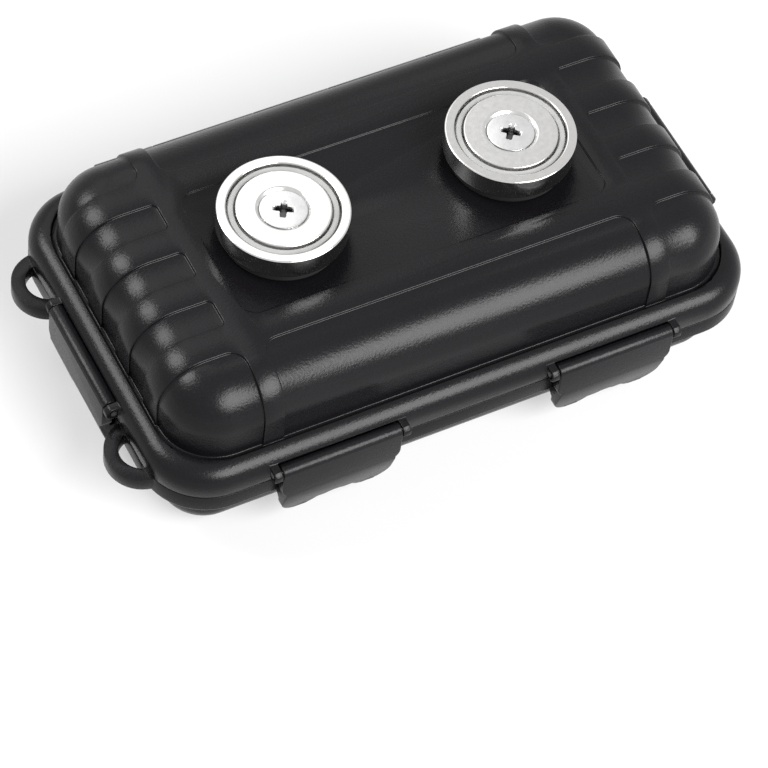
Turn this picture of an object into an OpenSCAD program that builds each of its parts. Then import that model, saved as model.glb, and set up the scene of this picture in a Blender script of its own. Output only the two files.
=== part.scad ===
// Small latched utility box with two screwed-on pot magnets, for keeping keys on a steel surface.
// Millimetres. X along the box, Y towards the hinge, Z up. The feet stand on z = 0, and the origin is
// under the middle of the rim.

/* [Case] */
// Length of the rim where lid and base meet
case_length = 125; // [118:1:150]
// Width of the rim where lid and base meet
case_width = 74; // [70:1:90]
// Plan radius of the rim's corners
rim_corner = 12.5; // [11:0.5:15]
// Height from the seam to the top of the lid
lid_height = 20.6; // [19:0.2:30]
// Height from the table to the seam
base_height = 16.9; // [16.1:0.1:25]
// Thickness of the moulded walls
wall = 2; // [1.6:0.1:2.4]
// Gap between the lid's rim and the base's rim
seam_gap = 0.1; // [0.05:0.05:0.2]

/* [Lid] */
// Height of the lid's rim above the seam
rim_height = 6.2; // [6:0.1:7]
// Radius of the rounding along the rim's top edge
rim_round = 4; // [3:0.1:4]
// How far the domed top is set in from the rim's face
dome_inset = 4.1; // [4:0.1:5]
// Plan radius of the domed top's corners
dome_corner = 11; // [10:0.5:13]
// Radius of the rounding along the domed top's edge
dome_round = 9; // [7:0.5:9.5]
// Width of the groove round the foot of the domed top
foot_groove_width = 0.6; // [0.4:0.1:1]
// Depth of the groove round the foot of the domed top
foot_groove_depth = 0.7; // [0.3:0.1:1]

/* [Relief] */
// How far the ribs and the middle stand above the pockets
rib_height = 0.45; // [0.3:0.05:0.6]
// Distance between the ribs on each short end
end_rib_pitch = 12.1; // [11:0.1:13]
// Width of a rib on a short end
end_rib_width = 5.8; // [4:0.1:6.5]
// Distance from the middle to a rib on a long side
side_rib_x = 40.2; // [36:0.1:42]
// Width of a rib on a long side
side_rib_width = 4.2; // [3:0.1:5]
// Plan radius of the pockets' inner corners
pocket_corner = 3; // [2:0.1:4]
// Plan radius of the narrow end pockets' inner corners
end_pocket_corner = 1.2; // [0.8:0.1:2]
// Length of the shallow panel that the magnets stand in
panel_length = 76; // [74:0.5:80]
// Width of the shallow panel that the magnets stand in
panel_width = 30.2; // [28:0.2:34]
// Depth of the shallow panel
panel_depth = 0.3; // [0.2:0.05:0.4]
// Plan radius of the panel's corners
panel_corner = 3.2; // [2:0.1:5]

/* [Base] */
// Height of the base's flange below the seam
flange_height = 4.3; // [4:0.1:5]
// Rounding of the flange's lower edge
flange_round = 0.8; // [0.5:0.1:1.2]
// How far the base's body is set in from the rim's face
body_inset = 4.2; // [4:0.1:5]
// Plan radius of the body's corners
body_corner = 8.8; // [8:0.2:9.8]
// Radius of the rounding along the body's bottom edge
body_round = 6; // [5:0.5:7]
// Height of the feet
foot_height = 0.7; // [0.4:0.1:1]
// Radius of a foot
foot_radius = 2.3; // [2:0.1:3]
// Distance of a foot from the middle, along the box
foot_x = 40.4; // [36:0.2:44]
// Distance of a foot from the middle, across the box
foot_y = 26; // [22:0.2:26.4]

/* [Lanyard loops] */
// Outer radius of a loop
loop_radius = 7.1; // [6.8:0.1:7.5]
// Radius of a loop's hole
loop_hole = 4.4; // [4:0.1:4.6]
// How far a loop reaches past the rim's face
loop_reach = 5.5; // [5.2:0.1:6.5]
// Thickness of a loop
loop_height = 2.95; // [2.05:0.1:3.05]
// Distance of a loop's middle from the box's centre line
loop_y = 21.1; // [20.5:0.1:23]
// Step from the seam down to a loop's top face
loop_drop = 0.3; // [0.2:0.1:1]

/* [Seal] */
// Distance from the rim's face to the middle of the seal
seal_inset = 2.9; // [2.9:0.1:3.1]
// Width of the seal's groove in the lid
seal_groove_width = 2.6; // [2.2:0.1:2.6]
// Depth of the seal's groove in the lid
seal_groove_depth = 2.4; // [2:0.1:2.6]
// Width of the ridge on the base that presses on the seal
ridge_width = 1; // [0.8:0.1:1]
// Height of the ridge on the base
ridge_height = 1; // [0.6:0.1:1.2]

/* [Hinge] */
// Length of the whole hinge
hinge_length = 84; // [78:1:90]
// Outer radius of the hinge's knuckles
knuckle_radius = 2.6; // [2.2:0.1:2.8]
// Radius of the hinge pin
hinge_pin_radius = 1; // [0.8:0.1:1.2]
// Length of each outer knuckle, on the base
outer_knuckle = 12; // [8:1:16]
// Length of the middle knuckle, on the base
middle_knuckle = 16; // [10:1:24]
// Side gap between knuckles
knuckle_gap = 0.3; // [0.2:0.1:0.5]

/* [Latches] */
// Distance of the front latches from the middle of the box
front_latch_x = 28.8; // [26:0.1:32]
// Width across a latch and its two ears
latch_width = 27.8; // [26:0.2:29]
// Width of one ear
ear_width = 1.6; // [1.2:0.1:1.8]
// How far a latch stands out from the rim's face
latch_reach = 2.4; // [2.3:0.1:3]
// Radius of a latch's barrel
barrel_radius = 1.5; // [1.4:0.1:1.6]
// Height of a latch's square top above its pin
latch_head = 1.35; // [1.2:0.05:1.4]
// Height of a latch's pin above the seam
latch_pin_height = 2.7; // [2.4:0.1:3]
// Radius of a latch's pin
latch_pin_radius = 0.6; // [0.5:0.05:0.7]
// Lowest edge of a latch's flat face, below the seam
latch_face_drop = 4.15; // [3.5:0.05:4.3]
// Tip of a latch, below the seam
latch_tip_drop = 12; // [11:0.1:12.6]
// How far a latch's tip is drawn in from its flat face
latch_tip_in = 2.2; // [1.8:0.1:2.4]
// How far a latch's hook reaches in behind the rim's face
hook_reach = 2.1; // [1.6:0.1:2.1]
// Width across the two finger lobes
lobe_span = 22.6; // [21:0.2:23]
// Radius of a finger lobe
lobe_radius = 4.3; // [3.8:0.1:4.6]

/* [Magnets] */
// Distance of a magnet from the middle of the box
magnet_x = 23.7; // [20:0.1:24]
// Radius of a magnet's steel cup
cup_radius = 12.5; // [10:0.1:13.5]
// Height of a magnet's steel cup
cup_height = 4.6; // [4.4:0.1:6]
// Thickness of the cup's floor
cup_floor = 1.2; // [1:0.1:1.4]
// Thickness of the cup's rim
cup_wall = 1.85; // [1.5:0.05:2.2]
// Radius of the magnet in the cup
core_radius = 8.95; // [7.5:0.05:9]
// How far the resin lies below the cup's rim
resin_drop = 0.55; // [0.2:0.05:0.7]
// Radius of the countersink's mouth
sink_radius = 5.05; // [4.9:0.05:5.3]
// Thickness of the rubber pad under a magnet
pad_height = 2.8; // [2:0.1:3.5]
// Radius of the rubber pad under a magnet
pad_radius = 11.3; // [9:0.1:12]

/* [Fasteners] */
// Radius of the screw's shank
screw_radius = 2.45; // [2:0.05:2.6]
// Radius of the screw's head
head_radius = 4.5; // [4.3:0.05:4.6]
// Width across the nut's flats
nut_flats = 8; // [7:0.5:9]
// Height of the nut
nut_height = 2.7; // [2:0.1:3.2]
// Radius of the washer
washer_radius = 5; // [4.5:0.1:5.5]
// Thickness of the washer
washer_height = 1; // [0.6:0.1:1.2]
// How far the screw's end shows past the nut
screw_spare = 0.6; // [0.3:0.1:1]

/* [Foam] */
// Thickness of the base's foam pad in the middle
base_foam_height = 9.5; // [8:0.1:9.7]
// Thickness of the lid's foam pad in the middle
lid_foam_height = 12; // [9:0.1:12.4]
// How much lower each foam pad is along its edge
foam_crown = 0.5; // [0.2:0.1:1]
// Gap round the foam pads
foam_gap = 0.3; // [0.2:0.1:0.6]

/* [Hidden] */
LATCHES = ["front_left", "front_right", "end_left", "end_right"];
SIDES = ["left", "right"];
$fn = 64;
fit_gap = 0.15;      // working gap between pieces that pass each other
pin_gap = 0.02;      // radial gap where a pin is held
running_gap = 0.06;  // radial gap where a piece turns on a pin
bite = 1;            // how far a joined shape runs into the solid that carries it
leaf = 0.01;         // thickness of a slice that a hull joins to the next
half_x = case_length / 2;
half_y = case_width / 2;
seam = base_height;
lid_floor = seam + seam_gap;
lid_top = seam + lid_height;
panel_top = lid_top - panel_depth;
low_top = lid_top - rib_height;
ceiling = low_top - wall;
cavity_inset = dome_inset + rib_height + wall;
cavity_corner = dome_corner - rib_height - wall;
cavity_round = dome_round - wall;
base_cavity_inset = body_inset + wall;
base_floor = foot_height + wall;
hinge_y = half_y + knuckle_radius + knuckle_gap;
swing_gap = 1.2;     // side gap at an end latch, whose tips move sideways while the lid swings
relief_depth = hook_reach + fit_gap;
face_gap = 0.25;     // gap between a closed latch and the rim's face
pin_out = latch_reach - barrel_radius;
plate_width = latch_width - 2 * ear_width - 2 * fit_gap;
magnet_foot = panel_top + pad_height;
magnet_face = magnet_foot + cup_height;
hole_radius = screw_radius + 0.3;
head_land = 0.3;      // straight edge of the screw's head
head_drop = sink_radius - head_radius - head_land - 0.05;
head_corner = 0.85;   // bevel along the top of a latch and its ears
head_sweep = sqrt(pow(barrel_radius, 2) + pow(latch_head - head_corner, 2));
screw_end = ceiling - washer_height - nut_height - screw_spare;

// A rectangle with round corners, by its half sizes
module plan(hx, hy, r) {
    square([2 * hx, 2 * (hy - r)], center = true);
    square([2 * (hx - r), 2 * hy], center = true);
    for (sx = [-1, 1], sy = [-1, 1])
        translate([sx * (hx - r), sy * (hy - r)]) circle(r);
}

// A closed band that follows the rim at a distance from its face
module rim_band(inset, width) {
    difference() {
        inset_plan(inset - width / 2, rim_corner);
        inset_plan(inset + width / 2, rim_corner);
    }
}

module inset_plan(inset, corner) {
    plan(half_x - inset, half_y - inset, corner - inset);
}

// The side of a block, from its corner's middle out to its wall, with a round top edge
module edge_profile(reach, height, round) {
    intersection() {
        square([reach, height]);
        union() {
            square([reach - round, height]);
            square([reach, height - round]);
            translate([reach - round, height - round]) circle(round);
        }
    }
}

// A block with round corners and a round top edge, standing on z = 0
module round_block(hx, hy, corner, height, round) {
    mx = hx - corner;
    my = hy - corner;
    for (sx = [-1, 1], sy = [-1, 1])
        translate([sx * mx, sy * my, 0]) rotate_extrude() edge_profile(corner, height, round);
    for (turn = [0, 180]) {
        rotate([0, 0, turn]) translate([0, my, 0]) rotate([90, 0, 90])
            linear_extrude(2 * mx, center = true) edge_profile(corner, height, round);
        rotate([0, 0, turn]) translate([mx, 0, 0]) rotate([90, 0, 0])
            linear_extrude(2 * my, center = true) edge_profile(corner, height, round);
    }
    translate([-mx, -my, 0]) cube([2 * mx, 2 * my, height]);
}

// A round bar along X, centred on x = 0
module bar(radius, length) {
    rotate([0, 90, 0]) cylinder(r = radius, h = length, center = true);
}

// Puts a piece drawn with +Y outwards and z = 0 at the seam where each latch sits
module at_latch(index) {
    place = [[-front_latch_x, -half_y], [front_latch_x, -half_y], [-half_x, 0], [half_x, 0]][index];
    turn = [180, 180, 90, -90][index];
    translate([place[0], place[1], seam]) rotate([0, 0, turn]) children();
}

module at_magnet(index) {
    translate([(index == 0 ? -1 : 1) * magnet_x, 0, 0]) children();
}

module at_hinge(from, to) {
    translate([(from + to) / 2, hinge_y, seam]) children();
}

// The recessed pockets between the ribs, seen from above
module pockets() {
    side_in = side_rib_x - side_rib_width / 2;
    side_out = side_rib_x + side_rib_width / 2;
    corner_y = 1.5 * end_rib_pitch + end_rib_width / 2;
    end_half = (end_rib_pitch - end_rib_width) / 2;
    for (s = [-1, 1]) {
        translate([0, s * (corner_y + half_y)]) plan(side_in, half_y, pocket_corner);
        for (t = [-1, 1])
            translate([s * (side_out + half_x), t * (corner_y + half_y)])
                plan(half_x, half_y, pocket_corner);
        for (row = [-1, 0, 1])
            translate([s * (side_out + half_x), row * end_rib_pitch])
                plan(half_x, end_half, end_pocket_corner);
    }
}

// The domed top without its hollow: the low shape of the pockets and the high shape of the rest
module dome() {
    low = dome_inset + rib_height;
    round_block(half_x - low, half_y - low, dome_corner - rib_height, lid_height - rib_height, dome_round);
    difference() {
        round_block(half_x - dome_inset, half_y - dome_inset, dome_corner, lid_height, dome_round);
        translate([0, 0, -1]) linear_extrude(lid_height + 2) pockets();
    }
}

// The lid's thick rim, with the groove round the foot of the dome
module lid_rim() {
    groove = dome_inset - foot_groove_width;
    difference() {
        round_block(half_x, half_y, rim_corner, rim_height, rim_round);
        translate([0, 0, rim_height - foot_groove_depth]) linear_extrude(rim_height)
            plan(half_x - groove, half_y - groove, dome_corner + foot_groove_width);
    }
}

// One knuckle of the lid or the base with the web that joins it to the rim
module knuckle(length, up) {
    web = up > 0
        ? [[-knuckle_radius - bite, seam_gap], [0, seam_gap], [0, knuckle_radius],
           [-knuckle_radius, knuckle_radius + bite], [-knuckle_radius - bite, knuckle_radius + bite]]
        : [[-knuckle_radius - bite, 0], [0, 0], [0, -knuckle_radius],
           [-knuckle_radius - knuckle_gap, -flange_height + flange_round],
           [-knuckle_radius - bite, -flange_height + flange_round]];
    bar(knuckle_radius, length);
    rotate([90, 0, 90]) linear_extrude(length, center = true) polygon(web);
}

// The bevelled top of a latch or an ear in side view, from a distance outside the rim's face
function latch_top(from) = [
    [from, latch_pin_height + latch_head], [latch_reach - head_corner, latch_pin_height + latch_head],
    [latch_reach, latch_pin_height + latch_head - head_corner]];

// The lid's lugs that hold a latch's pin
module ears() {
    for (s = [-1, 1])
        translate([s * (latch_width - ear_width) / 2, 0, 0]) rotate([90, 0, 90])
            linear_extrude(ear_width, center = true) polygon(concat(latch_top(-bite),
                [[latch_reach, latch_pin_height - barrel_radius + head_corner],
                 [latch_reach - head_corner, latch_pin_height - barrel_radius],
                 [-bite, latch_pin_height - barrel_radius]]));
}

module lid_shell() color("#2f2d30") {
    outer = hinge_length / 2 - outer_knuckle - knuckle_gap;
    inner = middle_knuckle / 2 + knuckle_gap;
    difference() {
        union() {
            difference() {
                translate([0, 0, seam]) {
                    lid_rim();
                    dome();
                }
                cube([case_length + bite, case_width + bite, 2 * lid_floor], center = true);
                translate([0, 0, panel_top]) linear_extrude(lid_height)
                    plan(panel_length / 2, panel_width / 2, panel_corner);
                round_block_cavity();
            }
            for (s = [-1, 1])
                at_hinge(s * inner, s * outer) knuckle(outer - inner, 1);
            for (i = [0:3]) at_latch(i) ears();
        }
        translate([0, 0, lid_floor - bite]) linear_extrude(seal_groove_depth + bite)
            rim_band(seal_inset, seal_groove_width);
        for (i = [0:3]) at_latch(i) translate([0, pin_out, latch_pin_height]) {
            bar(head_sweep + fit_gap, plate_width + 2 * fit_gap);
            bar(latch_pin_radius + pin_gap, latch_width + bite);
        }
        for (i = [0, 1]) at_magnet(i) translate([0, 0, ceiling - bite])
            cylinder(r = hole_radius, h = lid_height);
        translate([0, hinge_y, seam]) bar(hinge_pin_radius + running_gap, hinge_length + bite);
    }
}

// The hollow inside the lid, open at the seam
module round_block_cavity() {
    translate([0, 0, seam - bite])
        round_block(half_x - cavity_inset, half_y - cavity_inset, cavity_corner,
            ceiling - seam + bite, cavity_round);
}

module base_shell() color("#2f2d30") {
    outer = hinge_length / 2 - outer_knuckle / 2;
    loop_x = -half_x - loop_reach + loop_radius;
    difference() {
        union() {
            translate([0, 0, seam - bite / 2]) mirror([0, 0, 1])
                round_block(half_x - body_inset, half_y - body_inset, body_corner,
                    seam - bite / 2 - foot_height, body_round);
            for (s = [-1, 1], t = [-1, 1]) translate([s * foot_x, t * foot_y, 0])
                cylinder(r = foot_radius, h = foot_height + bite);
            translate([0, 0, seam]) mirror([0, 0, 1])
                round_block(half_x, half_y, rim_corner, flange_height, flange_round);
            translate([0, 0, seam - bite]) linear_extrude(ridge_height + bite)
                rim_band(seal_inset, ridge_width);
            for (s = [-1, 1]) {
                translate([loop_x, s * loop_y, seam - loop_drop - loop_height]) difference() {
                    cylinder(r = loop_radius, h = loop_height);
                    translate([0, 0, -bite]) cylinder(r = loop_hole, h = loop_height + 2 * bite);
                    translate([loop_reach - loop_radius + 2 * bite, -loop_radius, -bite])
                        cube([2 * loop_radius, 2 * loop_radius, loop_height + 2 * bite]);
                }
                at_hinge(s * outer, s * outer) knuckle(outer_knuckle, -1);
            }
            at_hinge(0, 0) knuckle(middle_knuckle, -1);
        }
        translate([0, 0, seam + bite]) mirror([0, 0, 1])
            round_block(half_x - base_cavity_inset, half_y - base_cavity_inset, body_corner - wall,
                seam + bite - base_floor, body_round - wall);
        for (i = [0:3]) at_latch(i) latch_relief(i < 2 ? fit_gap : swing_gap);
        translate([0, hinge_y, seam]) bar(hinge_pin_radius + pin_gap, hinge_length + bite);
    }
}

// Notch in the base's flange that a latch's hook passes through
module latch_relief(side_gap) {
    width = lobe_span + 2 * side_gap;
    translate([-width / 2, -relief_depth, -flange_height - bite])
        cube([width, relief_depth + bite, flange_height + bite + seam_gap]);
}

module hinge_pin() color("#b9bcc0")
    translate([0, hinge_y, seam]) bar(hinge_pin_radius, hinge_length);

module seal_ring() color("#1c1c1e")
    translate([0, 0, seam + ridge_height + fit_gap])
        linear_extrude(lid_floor + seal_groove_depth - seam - ridge_height - fit_gap)
            rim_band(seal_inset, seal_groove_width - fit_gap);

// How far a rounded hollow's wall is drawn in at a height above its floor
function round_in(height, round) =
    height >= round ? 0 : round - sqrt(round * round - (round - height) * (round - height));

// A foam pad that lies in a hollow with a round bottom edge. Its free side has a low crown and a
// drawn-in edge.
module foam_pad(hx, hy, corner, round, height) {
    edge = height - foam_crown;
    levels = [[0, 0], [0.5, 0], [1.5, 0], [3, 0], [edge - 1, 0], [edge - 0.3, 0.3], [edge, 1]];
    hull() {
        for (level = levels) {
            in = foam_gap + round_in(level[0], round) + level[1];
            translate([0, 0, level[0]]) linear_extrude(leaf)
                plan(hx - in, hy - in, corner - min(in, corner - 1), $fn = 32);
        }
        for (shrink = [0.8, 0.5])
            translate([0, 0, height - foam_crown * shrink * shrink - leaf]) linear_extrude(leaf)
                plan(hx * shrink, hy * shrink, corner, $fn = 32);
    }
}

module base_foam() color("#343235")
    translate([0, 0, base_floor])
        foam_pad(half_x - base_cavity_inset, half_y - base_cavity_inset, body_corner - wall,
            body_round - wall, base_foam_height);

module lid_foam() color("#343235")
    difference() {
        translate([0, 0, ceiling]) mirror([0, 0, 1])
            foam_pad(half_x - cavity_inset, half_y - cavity_inset, cavity_corner, cavity_round,
                lid_foam_height);
        for (i = [0, 1]) at_magnet(i) translate([0, 0, screw_end - foam_gap])
            cylinder(r = washer_radius + foam_gap, h = lid_foam_height);
    }

// A latch's side view, with Y outwards and the seam at zero
module latch_side() {
    tip = latch_reach - latch_tip_in;
    polygon(concat(latch_top(face_gap), [
        [latch_reach, -latch_face_drop], [tip, 0.4 - latch_tip_drop], [tip - 0.4, -latch_tip_drop],
        [tip - 1.5, -latch_tip_drop], [tip - 1.8, 0.3 - latch_tip_drop], [-0.6, -flange_height - 3.4],
        [-hook_reach, -flange_height - 2], [-hook_reach, -flange_height - fit_gap],
        [face_gap, -flange_height - fit_gap]]));
}

// A latch's front view: a plate with a finger tab that ends in two lobes
module latch_front() {
    lobe_x = lobe_span / 2 - lobe_radius;
    lobe_z = lobe_radius - latch_tip_drop;
    corner = 2.4;
    low = corner - latch_face_drop;
    difference() {
        union() {
            translate([-plate_width / 2, low])
                square([plate_width, latch_pin_height + latch_head - low]);
            for (s = [-1, 1]) translate([s * (plate_width / 2 - corner), low]) circle(corner);
            translate([-lobe_span / 2, lobe_z]) square([lobe_span, lobe_radius]);
            translate([-lobe_span / 2, -lobe_radius - 3]) square([lobe_span, lobe_radius + 3]);
            translate([-lobe_x, 1.6 - latch_tip_drop]) square([2 * lobe_x, latch_tip_drop]);
            for (s = [-1, 1]) translate([s * lobe_x, lobe_z]) circle(lobe_radius);
        }
        translate([0, -1.6 - latch_tip_drop]) circle(3.7);
    }
}

module latch(index) color("#2b292c") at_latch(index)
    difference() {
        union() {
            intersection() {
                rotate([90, 0, 90]) linear_extrude(latch_width, center = true) latch_side();
                rotate([90, 0, 0]) linear_extrude(4 * latch_reach, center = true) latch_front();
            }
            translate([0, pin_out, latch_pin_height]) bar(barrel_radius, plate_width);
        }
        translate([0, pin_out, latch_pin_height]) bar(latch_pin_radius + running_gap, latch_width);
    }

module latch_pin(index) color("#b9bcc0") at_latch(index)
    translate([0, pin_out, latch_pin_height]) bar(latch_pin_radius, latch_width);

module magnet_pad(index) color("#151516") at_magnet(index)
    translate([0, 0, panel_top]) tube(pad_radius, hole_radius, pad_height);

module magnet_cup(index) color("#c9cccf") at_magnet(index)
    translate([0, 0, magnet_foot]) rotate_extrude() polygon([
        [hole_radius, 0], [cup_radius, 0], [cup_radius, cup_height - 0.3],
        [cup_radius - 0.3, cup_height], [cup_radius - cup_wall + 0.3, cup_height],
        [cup_radius - cup_wall, cup_height - 0.3], [cup_radius - cup_wall, cup_floor],
        [hole_radius, cup_floor]]);

module magnet_core(index) color("#c4c7ca") at_magnet(index)
    translate([0, 0, magnet_face]) rotate_extrude() polygon([
        [hole_radius, cup_floor - cup_height], [core_radius, cup_floor - cup_height],
        [core_radius, -0.25], [core_radius - 0.25, 0],
        [sink_radius, 0], [hole_radius, hole_radius - sink_radius]]);

module resin_ring(index) color("#8f8f90") at_magnet(index)
    translate([0, 0, magnet_foot + cup_floor])
        tube(cup_radius - cup_wall - pin_gap, core_radius + pin_gap, cup_height - cup_floor - resin_drop);

// A countersunk screw with a cross recess, its head up
module screw(index) color("#bfc2c5") at_magnet(index)
    difference() {
        union() {
            translate([0, 0, magnet_face - head_drop - head_land])
                cylinder(r = head_radius, h = head_land);
            translate([0, 0, magnet_face - head_drop - head_land - (head_radius - screw_radius)])
                cylinder(r1 = screw_radius, r2 = head_radius, h = head_radius - screw_radius);
            translate([0, 0, screw_end])
                cylinder(r = screw_radius, h = magnet_face - head_drop - 1 - screw_end);
        }
        for (turn = [0, 90]) rotate([0, 0, turn]) translate([-1.85, -0.55, magnet_face - head_drop - 1.5])
            cube([3.7, 1.1, 2]);
    }

module washer(index) color("#c2c4c6") at_magnet(index)
    translate([0, 0, ceiling - washer_height]) tube(washer_radius, hole_radius, washer_height);

module nut(index) color("#c2c4c6") at_magnet(index)
    translate([0, 0, ceiling - washer_height - nut_height]) difference() {
        cylinder(r = nut_flats / 2 / cos(30), h = nut_height, $fn = 6);
        translate([0, 0, -bite]) cylinder(r = screw_radius + pin_gap, h = nut_height + 2 * bite);
    }

// A ring with a flat top and bottom, standing on z = 0
module tube(outer, inner, height) {
    difference() {
        cylinder(r = outer, h = height);
        translate([0, 0, -bite]) cylinder(r = inner, h = height + 2 * bite);
    }
}

base_shell();
lid_shell();
hinge_pin();
seal_ring();
base_foam();
lid_foam();
for (i = [0:3]) {
    latch(i);
    latch_pin(i);
}
for (i = [0, 1]) {
    magnet_pad(i);
    magnet_cup(i);
    magnet_core(i);
    resin_ring(i);
    screw(i);
    washer(i);
    nut(i);
}
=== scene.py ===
"""Dresses the magnetic key box: moulded shells, latches, pot magnets, screws, seal and foam.

All sizes are in metres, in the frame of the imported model.
"""

import math

import bmesh
import bpy
from bpy.props import FloatProperty, FloatVectorProperty, IntProperty, PointerProperty
from mathutils import Matrix, Vector


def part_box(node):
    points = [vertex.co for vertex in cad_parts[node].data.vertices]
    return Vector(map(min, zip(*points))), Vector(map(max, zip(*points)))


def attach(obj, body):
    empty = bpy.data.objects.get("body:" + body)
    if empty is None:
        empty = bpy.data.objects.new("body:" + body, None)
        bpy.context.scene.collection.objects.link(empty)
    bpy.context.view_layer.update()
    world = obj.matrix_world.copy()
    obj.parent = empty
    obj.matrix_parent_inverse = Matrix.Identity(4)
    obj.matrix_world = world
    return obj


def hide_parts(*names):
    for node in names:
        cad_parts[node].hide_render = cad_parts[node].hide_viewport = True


bl_info = {
    "name": "Magnetic Key Box",
    "version": (1, 0, 0),
    "blender": (4, 5, 0),
    "location": "3D View > Sidebar > Key Box",
    "description": "Builds a small latched box with pot magnets on its lid",
    "category": "Object",
}

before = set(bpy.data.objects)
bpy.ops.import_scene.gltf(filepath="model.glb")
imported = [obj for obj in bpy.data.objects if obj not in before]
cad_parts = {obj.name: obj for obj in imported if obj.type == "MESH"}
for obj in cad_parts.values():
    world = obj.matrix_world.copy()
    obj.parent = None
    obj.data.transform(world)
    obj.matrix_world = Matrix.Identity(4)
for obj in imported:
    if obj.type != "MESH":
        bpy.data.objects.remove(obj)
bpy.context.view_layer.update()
MM = 0.001

LATCHES = ("front_left", "front_right", "end_left", "end_right")
SIDES = ("left", "right")

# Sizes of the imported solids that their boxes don't tell.
BORE_RADIUS = 2.78 * MM  # 0.03 mm wider than the solids' holes
SINK_RADIUS = 5.05 * MM
SHANK_RADIUS = 2.45 * MM
SEAL_WIDTH = 2.45 * MM
SEAL_CORNER = 9.6 * MM  # along the strip's middle line
SEAL_ROUNDING = 0.5 * MM

# Fits and roundings of the magnets, and the groove that stays open on each side of the resin.
SEAT_GAP = 0.02 * MM
CUP_ROUNDING = 0.24 * MM
PAD_ROUNDING = 0.5 * MM
RESIN_ROUNDING = 0.1 * MM
GROOVE_DEPTH = 0.7 * MM
GROOVE_RISE = 0.05 * MM
GROOVE_FLOOR = 0.22 * MM
GROOVE_MOUTH = 0.34 * MM

# The screws' heads. Shares are of the head's radius.
HEAD_RINGS = 40
HEAD_SIDES = 96
CROWN_SHARE = 0.97
CROWN_HEIGHT = 0.1 * MM
EDGE_DROP = 0.14 * MM
LAND_DROP = 0.3 * MM
TIP_CHAMFER = 0.3 * MM
SCREW_TURN = 1.1
SCREW_SEED = 3

# The cross recess: its wings taper to their ends and meet in a deeper middle.
WING_SHARE = 0.44
WING_HALF_WIDTH = 0.52 * MM
WING_TAPER = 0.16 * MM
WING_EDGE = 0.12 * MM
WING_SLOPE = 1.9
MIDDLE_RADIUS = 0.78 * MM
MIDDLE_EDGE = 0.3 * MM
# The recess is painted dark as painted shade below this depth under the head's top. It reaches full dark over
# the next distance.
RECESS_SHADE_DEPTH = 0.5 * MM
RECESS_SHADE_FADE = 0.3 * MM

# How a copy of a solid is joined, rounded and creased.
WELD = 0.002 * MM
FLAT_ANGLE = math.radians(0.4)
ROUNDED_ANGLE = math.radians(28)
CREASE_ANGLE = math.radians(40)
SCREW_CREASE_ANGLE = math.radians(38)

# The foam's mesh and its simulation.
FOAM_MESH = 1.6 * MM
SWELL_PRESSURE = 3.0
SWELL_FRAMES = 12

# The stage: the floor, the lights' directions from the box, distances and widths, and the camera.
FLOOR_REACH = 6.0
GLOW_START = 0.15
GLOW_END = 0.6
AIM = Vector((0, 0, 0.02))
LIGHTS = {
    "key": ((0.275, -0.715, 0.645), 1.0, (0.95, 0.7)),
    "back": ((0.03, 0.61, 0.79), 1.1, (0.7, 0.7)),
    "side": ((-0.535, 0.494, 0.686), 1.0, (0.5, 0.58)),
}
SENSOR_MM = 36
CAMERA_PLACE = Vector((-0.241355, -0.370061, 0.578829))
CAMERA_RIGHT = Vector((0.888866, -0.450294, 0.084576))
CAMERA_UP = Vector((0.321159, 0.744009, 0.585925))


def low_high(name):
    """A node's lowest and highest corners."""
    low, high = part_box(name)
    return Vector(low), Vector(high)


def magnet_place():
    """The distance of a magnet from the middle of the box."""
    low, high = low_high("magnet_cup_right")
    return (low.x + high.x) / 2


def turned_size(node):
    """A turned node's radius, foot and top."""
    low, high = low_high(node)
    return (high.x - low.x) / 2, low.z, high.z


# ---------------------------------------------------------------- settings


class KeyBoxFinish(bpy.types.PropertyGroup):
    """Colours and surface values."""

    plastic_colour: FloatVectorProperty(
        name="Plastic", description="Colour of the moulded case", subtype="COLOR",
        size=3, min=0, max=1, default=(0.0042, 0.0038, 0.0046))
    plastic_roughness: FloatProperty(
        name="Plastic roughness", description="Mean roughness of the moulded case",
        min=0, max=1, subtype="FACTOR", default=0.27)
    grain_size: FloatProperty(
        name="Grain size", description="Width of one speck of the moulded grain",
        subtype="DISTANCE", unit="LENGTH", min=0.0001, max=0.002, default=0.00038)
    grain_depth: FloatProperty(
        name="Grain depth", description="Depth of the moulded grain",
        subtype="DISTANCE", unit="LENGTH", min=0, max=0.0002, default=0.00003)
    foam_colour: FloatVectorProperty(
        name="Foam", description="Colour of the foam lining", subtype="COLOR",
        size=3, min=0, max=1, default=(0.012, 0.0115, 0.0125))
    cell_size: FloatProperty(
        name="Foam cell size", description="Width of one cell of the foam",
        subtype="DISTANCE", unit="LENGTH", min=0.0002, max=0.005, default=0.0006)
    rubber_colour: FloatVectorProperty(
        name="Rubber", description="Colour of the seal and of the pads under the magnets",
        subtype="COLOR", size=3, min=0, max=1, default=(0.008, 0.008, 0.008))
    nickel_colour: FloatVectorProperty(
        name="Nickel", description="Colour of the plated cups and magnets", subtype="COLOR",
        size=3, min=0, max=1, default=(0.60, 0.595, 0.585))
    resin_colour: FloatVectorProperty(
        name="Resin", description="Colour of the ring round each magnet", subtype="COLOR",
        size=3, min=0, max=1, default=(0.28, 0.28, 0.275))
    pin_colour: FloatVectorProperty(
        name="Pins", description="Colour of the hinge pin and the latch pins", subtype="COLOR",
        size=3, min=0, max=1, default=(0.55, 0.55, 0.56))
    screw_colour: FloatVectorProperty(
        name="Screws", description="Colour of the zinc-plated screws", subtype="COLOR",
        size=3, min=0, max=1, default=(0.68, 0.68, 0.68))
    nut_colour: FloatVectorProperty(
        name="Nuts", description="Colour of the nuts and washers", subtype="COLOR",
        size=3, min=0, max=1, default=(0.6, 0.6, 0.58))


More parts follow.
